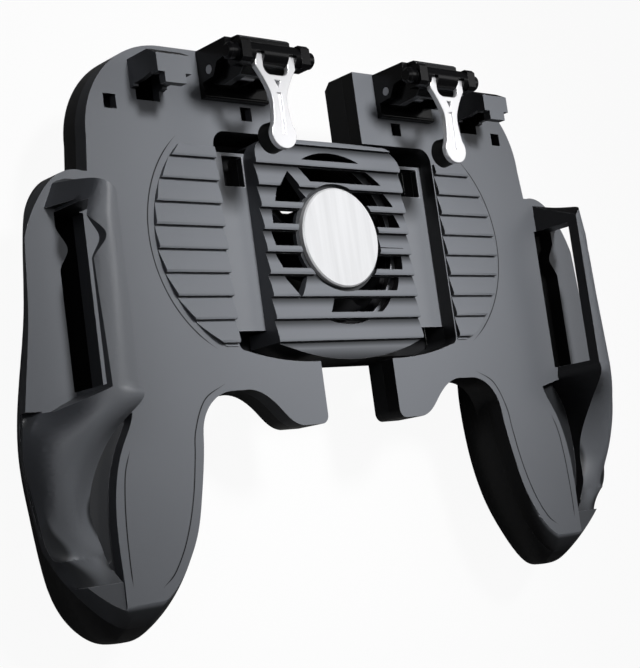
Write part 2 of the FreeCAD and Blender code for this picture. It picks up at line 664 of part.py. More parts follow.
def bridge_plate():
    """Slide plate through the cooler: the wings run on its two ends."""
    plate = box(-BRIDGE_X, BRIDGE_X, BRIDGE_BOTTOM_Y, BRIDGE_TOP_Y, BRIDGE_TOP - BRIDGE_THICK, BRIDGE_TOP)
    corners = [edge for edge in plate.Edges if edge.BoundBox.ZLength > BRIDGE_THICK / 2]
    plate = plate.makeFillet(2.0, corners)
    plate = plate.cut(rod(Vec(0, 0, -FAR), Z_AXIS, FAN_OPENING_R, 2 * FAR))
    for x0, x1 in BRIDGE_CUTS:
        plate = plate.cut(box(x0, x1, BRIDGE_CUT_Y, BRIDGE_TOP_Y - 0.8, -FAR, FAR))
    for sign in (-1, 1):
        for y in (-15.0, 6.0):
            slot = box(36.0, BRIDGE_X - 4.0, y, y + 2.4, -FAR, FAR)
            plate = plate.cut(slot if sign > 0 else mirrored(slot))
    return plate


def fan_frame():
    """Square fan housing: bore, corner holes, bearing tube and three slanted stator arms."""
    top = BRIDGE_TOP - BRIDGE_THICK
    half = FAN_SIZE / 2
    frame = box(-half, half, -half, half, top - FAN_DEPTH, top)
    frame = frame.makeFillet(2.5, [edge for edge in frame.Edges if edge.BoundBox.ZLength > FAN_DEPTH / 2])
    frame = frame.cut(rod(Vec(0, 0, -FAR), Z_AXIS, FAN_BORE_R, 2 * FAR))
    for sx in (-1, 1):
        for sy in (-1, 1):
            centre = Vec(sx * (half - 4.0), sy * (half - 4.0), -FAR)
            frame = frame.cut(rod(centre, Z_AXIS, 1.6, 2 * FAR))
    base = rod(Vec(0, 0, top - FAN_DEPTH), Z_AXIS, FAN_HUB_R, 1.2)
    arms = []
    for index in range(3):
        arm = box(FAN_HUB_R - 1, FAN_BORE_R + 0.6, -1.2, 1.2, top - FAN_DEPTH, top - FAN_DEPTH + 1.2)
        arm.rotate(Vec(0, 0, 0), Z_AXIS, 120 * index + 20)
        arms.append(arm)
    tube = rod(Vec(0, 0, top - FAN_DEPTH), Z_AXIS, SHAFT_R + 1.4, FAN_DEPTH - 3.6)
    hole = rod(Vec(0, 0, top - FAN_DEPTH + 0.5), Z_AXIS, SHAFT_R + SEAT_GAP, FAN_DEPTH)
    return frame.fuse(arms + [base, tube]).cut(hole)


def fan_blade():
    """Flat crescent blade, pitched about the radius through its middle, from inside the hub to its tip."""
    root = FAN_HUB_R - 0.8
    tip = FAN_BORE_R - BLADE_GAP
    middle = (root + tip) / 2
    outline = path((root, -3.4), [(middle, -4.4), (tip + 1, -2.6)], (tip + 1, 5.0), [(middle, 2.6), (root, 3.2)])
    blade = prism(outline, -BLADE_THICK / 2, BLADE_THICK / 2)
    blade.rotate(Vec(0, 0, 0), X_AXIS, BLADE_PITCH)
    return blade.common(rod(Vec(0, 0, -FAN_DEPTH), Z_AXIS, tip, 2 * FAN_DEPTH))


def fan_rotor():
    """Cup-shaped hub with pitched blades."""
    top = BRIDGE_TOP - BRIDGE_THICK - 0.7
    bottom = BRIDGE_TOP - BRIDGE_THICK - FAN_DEPTH + 2.0
    hub = rod(Vec(0, 0, bottom), Z_AXIS, FAN_HUB_R, top - bottom)
    hub = hub.cut(rod(Vec(0, 0, bottom - CUT), Z_AXIS, FAN_HUB_R - 1.2, top - bottom - 1.6 + CUT))
    blades = []
    for index in range(FAN_BLADES):
        blade = fan_blade().cut(rod(Vec(0, 0, -FAR), Z_AXIS, FAN_HUB_R - 0.6, 2 * FAR))
        blade.translate(Vec(0, 0, (top + bottom) / 2))
        blade.rotate(Vec(0, 0, 0), Z_AXIS, BLADE_TURN + 360.0 * index / FAN_BLADES)
        blades.append(blade)
    bore = rod(Vec(0, 0, bottom), Z_AXIS, SHAFT_R, FAN_DEPTH)
    return hub.fuse(blades).cut(bore)


def fan_shaft():
    top = BRIDGE_TOP - BRIDGE_THICK - 0.7
    bottom = BRIDGE_TOP - BRIDGE_THICK - FAN_DEPTH + 1.0
    return rod(Vec(0, 0, bottom), Z_AXIS, SHAFT_R, top - bottom)


def rounded_block(half_x, y0, y1, z0, z1, radius):
    block = box(-half_x, half_x, y0, y1, z0, z1)
    return block.makeFillet(radius, [edge for edge in block.Edges if edge.BoundBox.ZLength > (z1 - z0) / 2])


def rear_housing():
    """Tub behind the wings: collar round the fan, flange, side walls and wells for the inlet and button."""
    top = BRIDGE_TOP - BRIDGE_THICK
    low = -BODY_DEPTH + COVER_THICK
    collar_x = GRILLE_X - 0.8
    shell = rounded_block(HOUSING_X, HOUSING_BOTTOM_Y, HOUSING_TOP_Y, low, HOUSING_FRONT, HOUSING_R)
    collar = rounded_block(collar_x, BRIDGE_BOTTOM_Y, COLLAR_TOP_Y, HOUSING_FRONT - CUT, top, 2.0)
    shell = shell.fuse(collar)
    inside = rounded_block(HOUSING_X - WALL, HOUSING_BOTTOM_Y + WALL, HOUSING_TOP_Y - WALL, low - CUT,
                           HOUSING_FRONT - WALL, HOUSING_R - WALL)
    half = FAN_SIZE / 2
    pocket = box(-half, half, -half, half, -FAR, top + CUT)
    shell = shell.cut([inside, pocket])
    posts = []
    for x, y in cover_screw_places():
        posts.append(rod(Vec(x, y, low), Z_AXIS, BOSS_R, HOUSING_FRONT - WALL - low + CUT))
    shell = shell.fuse(posts)
    for x, y in cover_screw_places():
        shell = shell.cut(rod(Vec(x, y, low - CUT), Z_AXIS, SCREW_R, COVER_SCREW + CUT))
    inlet = box(INLET_X - 4.1, INLET_X + 4.1, HOUSING_BOTTOM_Y - CUT, HOUSING_BOTTOM_Y + WALL + CUT,
                WALL_PART_Z - 1.6, WALL_PART_Z + 1.6)
    button = rod(Vec(BUTTON_X, HOUSING_BOTTOM_Y - CUT, WALL_PART_Z), Y_AXIS, BUTTON_R + SLIDE_GAP, WALL + 2 * CUT)
    return shell.cut([inlet, button])


def cover_screw_places():
    x = HOUSING_X - 5.0
    return [(-x, HOUSING_BOTTOM_Y + 5.0), (x, HOUSING_BOTTOM_Y + 5.0),
            (-x, HOUSING_TOP_Y - 5.0), (x, HOUSING_TOP_Y - 5.0)]


def rear_cover():
    """Flat back lid with a round field of slots behind the fan and countersunk screw holes."""
    low = -BODY_DEPTH
    lid = rounded_block(HOUSING_X, HOUSING_BOTTOM_Y, HOUSING_TOP_Y, low, low + COVER_THICK, HOUSING_R)
    lower = [edge for edge in lid.Edges if edge.BoundBox.ZMax < low + 0.01]
    lid = lid.makeChamfer(0.8, lower)
    field = rod(Vec(0, 0, low - CUT), Z_AXIS, FAN_BORE_R - 1.5, COVER_THICK + 2 * CUT)
    count = int((FAN_BORE_R - 1.5) / VENT_PITCH)
    slots = []
    for step in range(-count, count + 1):
        y = step * VENT_PITCH
        slot = box(-HOUSING_X, HOUSING_X, y - VENT_WIDTH / 2, y + VENT_WIDTH / 2, low - 1, low + COVER_THICK + 1)
        slots.append(slot.common(field))
    rib = box(-1.2, 1.2, -HOUSING_X, HOUSING_X, low - 1, low + COVER_THICK + 1)
    lid = lid.cut([slot.cut(rib) for slot in slots])
    for x, y in cover_screw_places():
        lid = lid.cut(rod(Vec(x, y, low - CUT), Z_AXIS, SCREW_R + SLIDE_GAP, COVER_THICK + 2 * CUT))
        lid = lid.cut(rod(Vec(x, y, low - CUT), Z_AXIS, HEAD_R + SLIDE_GAP, HEAD_SINK + HEAD_THICK + CUT))
    return lid


def screws(places, head_z, length):
    """Small screws driven upwards: flat heads at head_z, shanks above them."""
    bodies = []
    for x, y in places:
        head = rod(Vec(x, y, head_z), Z_AXIS, HEAD_R, HEAD_THICK)
        bodies.append(head.fuse(rod(Vec(x, y, head_z), Z_AXIS, SCREW_R, length)))
    return Part.makeCompound(bodies)


def cover_screws():
    return screws(cover_screw_places(), HEAD_SINK - BODY_DEPTH, COVER_SCREW)


def battery_cell():
    """Flat pouch cell held against the housing's side wall."""
    low = -BODY_DEPTH + COVER_THICK
    cell = box(FAN_SIZE / 2 + 0.4, HOUSING_X - WALL, -14.0, 12.0, low, HOUSING_FRONT - WALL)
    return cell.makeFillet(1.2, [edge for edge in cell.Edges if edge.BoundBox.ZLength > 5])


def circuit_board():
    """Charging and fan board with its chips, upright beside the fan's other side."""
    low = -BODY_DEPTH + COVER_THICK
    board = box(-HOUSING_X + WALL, -HOUSING_X + WALL + 1.0, -14.0, 12.0, low, HOUSING_FRONT - WALL)
    chips = [box(-HOUSING_X + WALL + 1.0, -HOUSING_X + WALL + 2.2, y, y + 4.0, low + 3, low + 7)
             for y in (-10.0, -3.0, 5.0)]
    return board.fuse(chips)


def charging_inlet():
    """Metal shell of the charging socket with its tongue, open to the lower wall."""
    y = HOUSING_BOTTOM_Y + 0.3
    shell = box(INLET_X - 4.0, INLET_X + 4.0, y, y + 5.2, WALL_PART_Z - 1.5, WALL_PART_Z + 1.5)
    shell = shell.makeFillet(0.8, [edge for edge in shell.Edges if edge.BoundBox.YLength > 4])
    mouth = box(INLET_X - 3.5, INLET_X + 3.5, y - CUT, y + 4.4, WALL_PART_Z - 1.0, WALL_PART_Z + 1.0)
    tongue = box(INLET_X - 2.6, INLET_X + 2.6, y + 0.8, y + 4.6, WALL_PART_Z - 0.3, WALL_PART_Z + 0.3)
    shell = shell.cut(mouth).fuse(tongue)
    low = -BODY_DEPTH + COVER_THICK
    foot = box(INLET_X - 3.0, INLET_X + 3.0, y + 2.4, y + 5.0, low, WALL_PART_Z - 1.4)
    return shell.fuse(foot)


def power_button():
    """Round push button with a collar behind the wall."""
    y = HOUSING_BOTTOM_Y - BUTTON_PROUD
    cap = rod(Vec(BUTTON_X, y, WALL_PART_Z), Y_AXIS, BUTTON_R, WALL + BUTTON_PROUD + 0.4)
    front = [edge for edge in cap.Edges if edge.BoundBox.YMax < y + 0.01]
    cap = cap.makeChamfer(0.4, front)
    collar = rod(Vec(BUTTON_X, HOUSING_BOTTOM_Y + WALL + 0.3, WALL_PART_Z), Y_AXIS, BUTTON_R + 0.9, 0.9)
    return cap.fuse(collar)


def button_switch():
    """Tact switch that the button presses, on a foot standing on the lid."""
    y = HOUSING_BOTTOM_Y + WALL + 2.0
    body = box(BUTTON_X - 2.6, BUTTON_X + 2.6, y, y + 2.0, WALL_PART_Z - 2.6, WALL_PART_Z + 2.6)
    low = -BODY_DEPTH + COVER_THICK
    foot = box(BUTTON_X - 2.0, BUTTON_X + 2.0, y + 0.4, y + 1.8, low, WALL_PART_Z - 2.5)
    return body.fuse(foot)


def trigger_seat():
    """Base on the face plate with a raised front rim, two cheeks for the pin and a spring post."""
    half = KEY_HALF + SLIDE_GAP + CHEEK_THICK
    base = box(TRIGGER_X - half, TRIGGER_X + half, SEAT_FRONT_Y, WING_TOP - 0.2, 0, SEAT_BASE)
    rim = rod(Vec(TRIGGER_X - half, SEAT_FRONT_Y + 0.5, SEAT_BASE - 0.1), X_AXIS, 0.5, 2 * half)
    cheeks = []
    for side in (-1, 1):
        inner = TRIGGER_X + side * (KEY_HALF + SLIDE_GAP)
        outer = TRIGGER_X + side * half
        x0 = min(inner, outer)
        x1 = max(inner, outer)
        profile = [(SEAT_FRONT_Y + 3.4, SEAT_BASE - CUT), (PIN_Y - 1.9, PIN_Z + 1.3), (CHEEK_FRONT_Y, PIN_Z + 3.0),
                   (CHEEK_FRONT_Y + 0.6, CHEEK_TOP), (WING_TOP - 0.2, CHEEK_TOP), (WING_TOP - 0.2, SEAT_BASE - CUT)]
        cheeks.append(side_prism(profile, x0, x1))
    seat = base.fuse([rim] + cheeks)
    bore = rod(Vec(TRIGGER_X - half - CUT, PIN_Y, PIN_Z), X_AXIS, PIN_R, 2 * half + 2 * CUT)
    return seat.cut(bore)


def trigger_pin():
    half = KEY_HALF + SLIDE_GAP + CHEEK_THICK
    return rod(Vec(TRIGGER_X - half, PIN_Y, PIN_Z), X_AXIS, PIN_R, 2 * half)


def trigger_key():
    """Hollow finger block: a rocker with a rounded back, open below round the spring."""
    side = [(KEY_FRONT_Y + 1.6, PIN_Z - 1.2), (KEY_FRONT_Y + 0.4, 6.0), (KEY_FRONT_Y + 1.0, KEY_TOP - 1.6),
            (KEY_FRONT_Y + 2.6, KEY_TOP), (KEY_BACK_Y - 0.6, KEY_TOP), (KEY_BACK_Y, KEY_TOP - 0.8),
            (KEY_BACK_Y + 0.3, 7.0), (KEY_BACK_Y - 0.6, PIN_Z - 0.4), (PIN_Y + 1.6, PIN_Z - 1.9),
            (PIN_Y - 1.6, PIN_Z - 1.9)]
    key = side_prism(side, TRIGGER_X - KEY_HALF, TRIGGER_X + KEY_HALF)
    hollow = box(TRIGGER_X - KEY_HALF + WALL, TRIGGER_X + KEY_HALF - WALL, KEY_FRONT_Y - 2,
                 KEY_BACK_Y - WALL, 0, KEY_TOP - 2.4)
    key = key.cut(hollow)
    bore = rod(Vec(TRIGGER_X - KEY_HALF - CUT, PIN_Y, PIN_Z), X_AXIS, PIN_R + SEAT_GAP, 2 * KEY_HALF + 2 * CUT)
    groove = rod(Vec(TRIGGER_X - KEY_HALF - CUT, CROSS_BAR_Y, KEY_TOP + 0.7), X_AXIS, CROSS_BAR_R,
                 2 * KEY_HALF + 2 * CUT)
    return key.cut([bore, groove])


def trigger_bar():
    """Round cross bar in the key's groove, with square collars beside the key and a knob at each end."""
    z = KEY_TOP + 0.7
    core_half = KEY_HALF + COLLAR_WIDTH
    bar = rod(Vec(TRIGGER_X - core_half, CROSS_BAR_Y, z), X_AXIS, CROSS_BAR_R, 2 * core_half)
    knobs = rod(Vec(TRIGGER_X - CROSS_BAR_HALF, CROSS_BAR_Y, z), X_AXIS, KNOB_R, 2 * CROSS_BAR_HALF)
    ends = [edge for edge in knobs.Edges if edge.BoundBox.XLength < 0.01]
    pieces = [knobs.makeChamfer(0.6, ends)]
    for side in (-1, 1):
        inner = TRIGGER_X + side * (KEY_HALF + 0.02)
        outer = TRIGGER_X + side * core_half
        collar = box(min(inner, outer), max(inner, outer), CROSS_BAR_Y - COLLAR_HALF, CROSS_BAR_Y + COLLAR_HALF,
                     z - COLLAR_HALF, z + COLLAR_HALF)
        corners = [edge for edge in collar.Edges if edge.BoundBox.XLength > COLLAR_WIDTH / 2]
        pieces.append(collar.makeChamfer(0.8, corners))
    slots = [box(x - LEVER_ARM_WIDTH / 2, x + LEVER_ARM_WIDTH / 2, CROSS_BAR_Y - 5, CROSS_BAR_Y, LEVER_Z, 30)
             for x in (TRIGGER_X - LEVER_ARM_X, TRIGGER_X + LEVER_ARM_X)]
    return bar.fuse(pieces).cut(slots)


def trigger_lever():
    """Forked metal lever: two arms let into the cross bar, a waist and a round tip."""
    x = TRIGGER_X
    outer = LEVER_ARM_X + LEVER_ARM_WIDTH / 2
    inner = LEVER_ARM_X - LEVER_ARM_WIDTH / 2
    tip = LEVER_TIP_Y
    outline = path(
        (x - outer, CROSS_BAR_Y),
        (x - outer, CROSS_BAR_Y - CROSS_BAR_R - 0.6),
        [(x - outer + 0.4, 33.0), (x - 3.3, 29.8), (x - 2.2, 27.0), (x - 2.1, 25.4), (x - 2.7, tip + 5.4)],
        ((x - 3.4, tip + 2.6), (x, tip)),
        ((x + 3.4, tip + 2.6), (x + 2.7, tip + 5.4)),
        [(x + 2.1, 25.4), (x + 2.2, 27.0), (x + 3.3, 29.8), (x + outer - 0.4, 33.0),
         (x + outer, CROSS_BAR_Y - CROSS_BAR_R - 0.6)],
        (x + outer, CROSS_BAR_Y),
        (x + inner, CROSS_BAR_Y),
        (x + inner, 34.2),
        ((x + inner - 0.6, 32.4), (x + inner - 2.0, 31.9)),
        (x - inner + 2.0, 31.9),
        ((x - inner + 0.6, 32.4), (x - inner, 34.2)),
        (x - inner, CROSS_BAR_Y),
    )
    plate = prism(outline, LEVER_Z, LEVER_Z + LEVER_THICK)
    recess = prism(path((x - 0.3, tip + 3.2), (x + 0.3, tip + 3.2), (x + 0.6, 28.0), (x - 0.6, 28.0)),
                   LEVER_Z + LEVER_THICK - 0.5, LEVER_Z + 5)
    eye = prism(path((x, 29.2), (x + 0.8, 30.7), (x - 0.8, 30.7)), LEVER_Z - CUT, LEVER_Z + 5)
    return plate.cut([recess, eye])


def trigger_foot():
    """Rubber foot under the lever's tip, with a chamfered rim at the face that meets the screen."""
    y = LEVER_TIP_Y + FOOT_R
    foot = Part.makeCone(FOOT_R, FOOT_R - 0.3, LEVER_Z - FOOT_BOTTOM, Vec(TRIGGER_X, y, FOOT_BOTTOM), Z_AXIS)
    rim = [edge for edge in foot.Edges if edge.BoundBox.ZMax < FOOT_BOTTOM + 0.01]
    return foot.makeChamfer(0.5, rim)


def trigger_spring():
    """Torsion spring wound on the pin, inside the key, with one leg on the seat."""
    half = 3.0
    outer = rod(Vec(TRIGGER_X - half, PIN_Y, PIN_Z), X_AXIS, PIN_R + 0.7, 2 * half)
    leg = box(TRIGGER_X - half, TRIGGER_X - half + 0.7, PIN_Y - PIN_R - 0.7, PIN_Y - PIN_R, SEAT_BASE, PIN_Z)
    return outer.fuse(leg).cut(rod(Vec(TRIGGER_X - half - CUT, PIN_Y, PIN_Z), X_AXIS, PIN_R, 2 * (half + CUT)))


def screw_bosses(z0, z1):
    return [rod(Vec(x, y, z0), Z_AXIS, BOSS_R, z1 - z0) for x, y in WING_SCREWS]


def screw_holes(z0, z1, radius):
    return [rod(Vec(x, y, z0), Z_AXIS, radius, z1 - z0) for x, y in WING_SCREWS]


def wing_screws():
    """The screws that hold a wing's two shells together."""
    return screws(WING_SCREWS, HEAD_SINK - ARM_DEPTH, ARM_DEPTH - SKIN - CUT)


def write(name, shape):
    """Save one piece, raised so that the controller's back is at Z = 0."""
    copy = shape.copy()
    copy.translate(Vec(0, 0, BODY_DEPTH))
    if not copy.isValid():
        print("not valid:", name)
    copy.exportStep("parts/" + name + ".step")
    print(name, "solids", len(copy.Solids), "volume", round(copy.Volume, 1), "faces", len(copy.Faces))


def main():
    os.makedirs("parts", exist_ok=True)
    middle = (front_grille, badge_disc, bridge_plate, fan_frame, fan_rotor, fan_shaft, rear_housing, rear_cover,
              cover_screws, battery_cell, circuit_board, charging_inlet, power_button, button_switch)
    wing = (front_shell, back_shell, trigger_seat, trigger_pin, trigger_key, trigger_bar, trigger_lever,
            trigger_foot, trigger_spring, wing_screws)
    for make in middle:
        write(make.__name__, make())
    for make in wing:
        shape = make()
        write("right_" + make.__name__, shape)
        write("left_" + make.__name__, mirrored(shape))


main()
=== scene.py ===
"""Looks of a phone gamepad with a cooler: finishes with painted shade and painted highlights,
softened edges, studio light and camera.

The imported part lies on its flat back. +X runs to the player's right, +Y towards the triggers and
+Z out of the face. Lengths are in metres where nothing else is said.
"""

import logging
import math
from dataclasses import dataclass, field
from enum import Enum
from typing import Callable

import bmesh
import bpy
import numpy as np
from mathutils import Matrix, Vector


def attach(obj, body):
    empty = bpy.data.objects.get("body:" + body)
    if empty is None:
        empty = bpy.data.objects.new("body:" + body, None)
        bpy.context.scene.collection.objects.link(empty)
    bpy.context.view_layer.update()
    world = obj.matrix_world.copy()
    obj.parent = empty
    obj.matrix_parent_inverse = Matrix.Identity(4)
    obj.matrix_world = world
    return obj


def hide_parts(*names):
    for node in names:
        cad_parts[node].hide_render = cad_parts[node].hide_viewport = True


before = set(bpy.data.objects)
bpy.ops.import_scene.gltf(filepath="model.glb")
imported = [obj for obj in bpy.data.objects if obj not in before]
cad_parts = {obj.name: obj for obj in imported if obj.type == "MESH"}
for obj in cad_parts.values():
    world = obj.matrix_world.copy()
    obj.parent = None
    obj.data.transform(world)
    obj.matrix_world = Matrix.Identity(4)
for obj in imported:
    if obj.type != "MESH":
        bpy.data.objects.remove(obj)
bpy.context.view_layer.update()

LOG = logging.getLogger("gamepad")
MM = 0.001
IMAGE_WIDTH = 640
IMAGE_HEIGHT = 668

Pair = tuple[float, float]
Triple = tuple[float, float, float]
Colour = Triple
Tone = Colour | bpy.types.NodeSocket


class Side(Enum):
    """The two wings, with the sign of X on which each lies."""

    LEFT = -1
    RIGHT = 1

    @property
    def prefix(self) -> str:
        """Start of the names of this wing's nodes and bodies."""
        return self.name.lower() + "_"


class Slot(Enum):
    """Material slots of the part's record."""

    FACE = "face_plastic"
    BACK = "back_plastic"
    BRIDGE = "bridge_plastic"
    TRIGGER = "trigger_plastic"
    FAN = "fan_plastic"
    BUTTON = "button_plastic"
    BADGE = "badge_metal"
    LEVER = "lever_metal"
    SCREW = "screw_steel"
    SOCKET = "socket_steel"
    FOOT = "foot_rubber"
    BATTERY = "battery_wrap"
    BOARD = "board_laminate"


@dataclass(frozen=True)
class Finish:
    """A surface finish: base colour with a slow mottle, roughness and a fine grain.

    Where a wall colour is given, walls and hollows get painted shade.

    Attributes:
        name: the material's name.
        colour: linear base colour.
        roughness: middle value of the roughness.
        metallic: how far the surface is bare metal, from 0 to 1.
        mottle: share by which the colour and roughness vary.
        mottle_size: distance over which they vary, in metres.
        grain_size: distance between the grain's bumps, in metres.
        grain_height: height of the grain, in metres.
        coat: weight of a clear coat.
        coat_roughness: roughness of the clear coat.
        stretch: scale of mottle and grain along X, Y and Z, where less than 1 draws them out.
        specular: strength of the surface reflection.
        inner_colour: painted shade, the near-black colour of the walls that don't look away
            from the middle, if walls are painted in shade.
        outer_colour: painted shade, the dark grey of the walls that do look away, a little
            lighter as if lit from the side, given together with inner_colour.
        low_colour: painted shade, the darker colour of faces that look up from below the plates'
            level, if hollows are painted in shade.
        low_levels: heights between which that painted shade gives way to the upper
            colour, in metres.
        outward_turn: outward parts of the normal between which the walls' painted shade changes.
        upward_turn: upward parts of the normal between which the painted wall shade gives way to
            the tops' colour.
        mottle_detail: octaves of the mottle's noise.
        grain_detail: octaves of the grain's noise.
    """

    name: str
    colour: Colour
    roughness: float
    metallic: float = 0.0
    mottle: float = 0.05
    mottle_size: float = 16 * MM
    grain_size: float = 0.0
    grain_height: float = 0.0
    coat: float = 0.0
    coat_roughness: float = 0.1
    stretch: Triple = (1.0, 1.0, 1.0)
    specular: float = 0.5
    # Painted shade of walls and hollows, chosen by the way the faces look; None where there is none.
    inner_colour: Colour | None = None
    outer_colour: Colour | None = None
    low_colour: Colour | None = None
    low_levels: Pair = (26.2 * MM, 26.9 * MM)
    outward_turn: Pair = (0.1, 0.5)
    upward_turn: Pair = (0.4, 0.75)
    mottle_detail: float = 3.0
    grain_detail: float = 2.0

    def by_direction(self, tree: bpy.types.NodeTree, place: bpy.types.Node,
                     top: bpy.types.NodeSocket) -> bpy.types.NodeSocket:
        """Paints shade by the way a face looks: tops keep their colour, walls get painted shade.

        A face's outward part is its normal's X times the sign of its place's X, and its upward
        part is its normal's Z. Faces that look up from low in hollows get painted shade as well.

        Args:
            tree: the material's node tree.
            place: its texture coordinates.
            top: colour of the faces that look up.

        Returns:
            The top colour with the painted shade of walls and hollows mixed in.
        """
        nodes = tree.nodes
        links = tree.links
        shape = nodes.new("ShaderNodeNewGeometry")
        way = nodes.new("ShaderNodeSeparateXYZ")
        spot = nodes.new("ShaderNodeSeparateXYZ")
        links.new(shape.outputs["Normal"], way.inputs["Vector"])
        links.new(place.outputs["Object"], spot.inputs["Vector"])
        side = nodes.new("ShaderNodeMath")
        side.operation = "SIGN"
        links.new(spot.outputs["X"], side.inputs[0])
        outward = nodes.new("ShaderNodeMath")
        outward.operation = "MULTIPLY"
        links.new(side.outputs[0], outward.inputs[0])
        links.new(way.outputs["X"], outward.inputs[1])
        # Painted shade on walls: near black where they look inward, dark grey where they look outward.
        walls = self.mixed(tree, outward.outputs[0], self.outward_turn,
                           (self.inner_colour, self.outer_colour))
        # Painted shade on faces that look up from below the plates' level.
        if self.low_colour is not None:
            top = self.mixed(tree, spot.outputs["Z"], self.low_levels, (self.low_colour, top))
        # Tops keep their colour, and steep faces take the painted wall shade.
        return self.mixed(tree, way.outputs["Z"], self.upward_turn, (walls, top))

    @staticmethod
    def mixed(tree: bpy.types.NodeTree, value: bpy.types.NodeSocket, turn: Pair,
              tones: tuple[Tone, Tone]) -> bpy.types.NodeSocket:
        """Goes smoothly from one colour to another as a value rises.

        Args:
            tree: the material's node tree.
            value: the value that decides.
            turn: values at which the change starts and ends.
            tones: colours at low and at high values, each fixed or worked out.

        Returns:
            The mixed colour.
        """
        low, high = turn
        reach = tree.nodes.new("ShaderNodeMapRange")
        reach.interpolation_type = "SMOOTHSTEP"
        reach.inputs["From Min"].default_value = low
        reach.inputs["From Max"].default_value = high
        tree.links.new(value, reach.inputs["Value"])
        mix = tree.nodes.new("ShaderNodeMix")
        mix.data_type = "RGBA"
        tree.links.new(reach.outputs["Result"], mix.inputs["Factor"])
        for socket, colour in zip(("A", "B"), tones):
            if isinstance(colour, tuple):
                mix.inputs[socket].default_value = (*colour, 1.0)
            else:
                tree.links.new(colour, mix.inputs[socket])
        return mix.outputs["Result"]

    def build(self) -> bpy.types.Material:
        """Makes the node material.

        Returns:
            The new material, which reads Object coordinates.
        """
        material = bpy.data.materials.new(self.name)
        material.use_nodes = True
        nodes = material.node_tree.nodes
        links = material.node_tree.links
        shader = nodes["Principled BSDF"]
        shader.inputs["Metallic"].default_value = self.metallic
        shader.inputs["Coat Weight"].default_value = self.coat
        shader.inputs["Coat Roughness"].default_value = self.coat_roughness
        shader.inputs["Specular IOR Level"].default_value = self.specular
        place = nodes.new("ShaderNodeTexCoord")
        turn = nodes.new("ShaderNodeMapping")
        turn.inputs["Scale"].default_value = self.stretch
        links.new(place.outputs["Object"], turn.inputs["Vector"])
        slow = nodes.new("ShaderNodeTexNoise")
        slow.inputs["Scale"].default_value = 1.0 / self.mottle_size
        slow.inputs["Detail"].default_value = self.mottle_detail
        links.new(turn.outputs["Vector"], slow.inputs["Vector"])
        tint = nodes.new("ShaderNodeMix")
        tint.data_type = "RGBA"
        tint.inputs["A"].default_value = (*[c * (1 - self.mottle) for c in self.colour], 1.0)
        tint.inputs["B"].default_value = (*[c * (1 + self.mottle) for c in self.colour], 1.0)
        links.new(slow.outputs["Fac"], tint.inputs["Factor"])
        colour = tint.outputs["Result"]
        # Painted shade on walls and hollows, where the finish has a wall colour.
        if self.inner_colour is not None:
            colour = self.by_direction(material.node_tree, place, colour)
        links.new(colour, shader.inputs["Base Color"])
        spread = nodes.new("ShaderNodeMapRange")
        spread.inputs["To Min"].default_value = self.roughness * (1 - self.mottle)
        spread.inputs["To Max"].default_value = self.roughness * (1 + self.mottle)
        links.new(slow.outputs["Fac"], spread.inputs["Value"])
        links.new(spread.outputs["Result"], shader.inputs["Roughness"])
        if self.grain_height > 0:
            grain = nodes.new("ShaderNodeTexNoise")
            grain.inputs["Scale"].default_value = 1.0 / self.grain_size
            grain.inputs["Detail"].default_value = self.grain_detail
            links.new(turn.outputs["Vector"], grain.inputs["Vector"])
            bump = nodes.new("ShaderNodeBump")
            bump.inputs["Strength"].default_value = 1.0
            bump.inputs["Distance"].default_value = self.grain_height
            links.new(grain.outputs["Fac"], bump.inputs["Height"])
            links.new(bump.outputs["Normal"], shader.inputs["Normal"])
        return material


FINISHES: dict[Slot, Finish] = {
    # The face plastic carries painted shade: near-black inward walls, dark grey outward walls, darker
    # hollows.
    Slot.FACE: Finish("face_plastic", (0.185, 0.195, 0.215), 0.42, mottle=0.03, specular=0.4,
                      grain_size=0.25 * MM, grain_height=0.005 * MM,
                      inner_colour=(0.006, 0.006, 0.007), outer_colour=(0.06, 0.064, 0.074),
                      low_colour=(0.034, 0.036, 0.04)),
    Slot.BACK: Finish("back_plastic", (0.016, 0.0165, 0.018), 0.38, mottle=0.05, specular=0.3,
                      grain_size=0.25 * MM, grain_height=0.006 * MM),
    # The bridge plastic carries painted shade on its walls: near black inward, a little lighter outward.
    Slot.BRIDGE: Finish("bridge_plastic", (0.21, 0.22, 0.24), 0.36, mottle=0.03, specular=0.35,
                        inner_colour=(0.01, 0.01, 0.011), outer_colour=(0.02, 0.021, 0.023)),
    Slot.TRIGGER: Finish("trigger_plastic", (0.003, 0.003, 0.0035), 0.24, mottle=0.05, specular=0.28,
                         grain_size=0.3 * MM, grain_height=0.003 * MM),
    Slot.FAN: Finish("fan_plastic", (0.008, 0.008, 0.009), 0.3, specular=0.45),
    Slot.BUTTON: Finish("button_plastic", (0.02, 0.02, 0.022), 0.3, coat=0.3),
    Slot.BADGE: Finish("badge_metal", (0.74, 0.745, 0.76), 0.34, metallic=0.3,
                       mottle=0.24, mottle_size=2.6 * MM, stretch=(1.0, 0.06, 1.0),
                       grain_size=0.12 * MM, grain_height=0.002 * MM),
    Slot.LEVER: Finish("lever_metal", (0.85, 0.85, 0.87), 0.22, metallic=0.45, mottle=0.05),
    Slot.SCREW: Finish("screw_steel", (0.42, 0.42, 0.43), 0.3, metallic=1.0),
    Slot.SOCKET: Finish("socket_steel", (0.6, 0.6, 0.61), 0.25, metallic=1.0),
    Slot.FOOT: Finish("foot_rubber", (0.008, 0.008, 0.008), 0.6, mottle=0.08, specular=0.2,
                      grain_size=0.2 * MM, grain_height=0.01 * MM),
    Slot.BATTERY: Finish("battery_wrap", (0.3, 0.32, 0.35), 0.3, metallic=0.6),
    Slot.BOARD: Finish("board_laminate", (0.02, 0.14, 0.07), 0.4),
}


